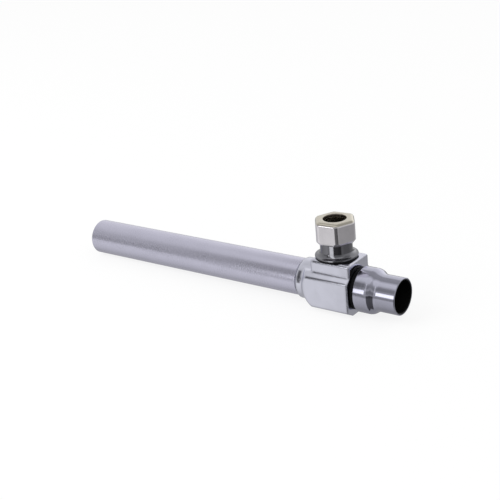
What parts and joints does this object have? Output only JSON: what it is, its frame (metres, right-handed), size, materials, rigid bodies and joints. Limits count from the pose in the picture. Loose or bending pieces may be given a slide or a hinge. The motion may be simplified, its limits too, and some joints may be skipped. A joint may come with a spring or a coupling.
{
  "type": "angle ball stop valve",
  "caption": "Quarter-turn angle ball stop valve with a long soldered inlet tube, a side compression outlet and a shielded square stem for a loose key.",
  "frame": {"origin": "centre of the extension tube's open inlet end", "axes": "+X along the tube towards the valve body and the shield, +Z along the compression outlet, away from the body"},
  "size_m": [0.1643, 0.02, 0.0391],
  "materials": {
    "tube": "satin chrome plate",
    "body": "polished chrome plate",
    "shield": "polished chrome plate",
    "nipple": "polished chrome plate",
    "nut": "nickel plate",
    "stem": "turned",
    "ball": "polished",
    "ferrule": "turned",
    "seat": "moulded",
    "seal": "moulded",
    "clip": "stamped"
  },
  "bodies": {
    "valve": {"extension_tube": "tube", "valve_body": "body", "inlet_seat": "seat", "outlet_seat": "seat", "support_seat": "seat", "bonnet": "stem", "bonnet_ring": "seal", "shield_gasket": "seal", "shield": "shield", "outlet_nipple": "nipple", "nipple_ring": "seal"},
    "stem": {"stem": "stem", "ball": "ball", "thrust_washer": "seat", "stem_ring_inner": "seal", "stem_ring_outer": "seal", "stop_plate": "clip", "clip": "clip"},
    "ferrule": {"ferrule": "ferrule"},
    "nut": {"compression_nut": "nut"}
  },
  "joints": [
    {"name": "quarter_turn", "type": "hinge", "parent": "valve", "child": "stem", "pos_m": [0.13435, 0, 0], "axis": [-1, 0, 0], "range_deg": [0, 90]},
    {"name": "nut_lift", "type": "slide", "parent": "valve", "child": "ferrule", "axis": [0, 0, 1], "range_m": [0, 0.00424]},
    {"name": "nut_turn", "type": "hinge", "parent": "ferrule", "child": "nut", "pos_m": [0.13435, 0, 0.024], "axis": [0, 0, 1], "range_deg": [0, 1440]}
  ],
  "couplings": [
    {"joint": "nut_lift", "follows": "nut_turn", "m_per_rad": 0.00016844}
  ]
}
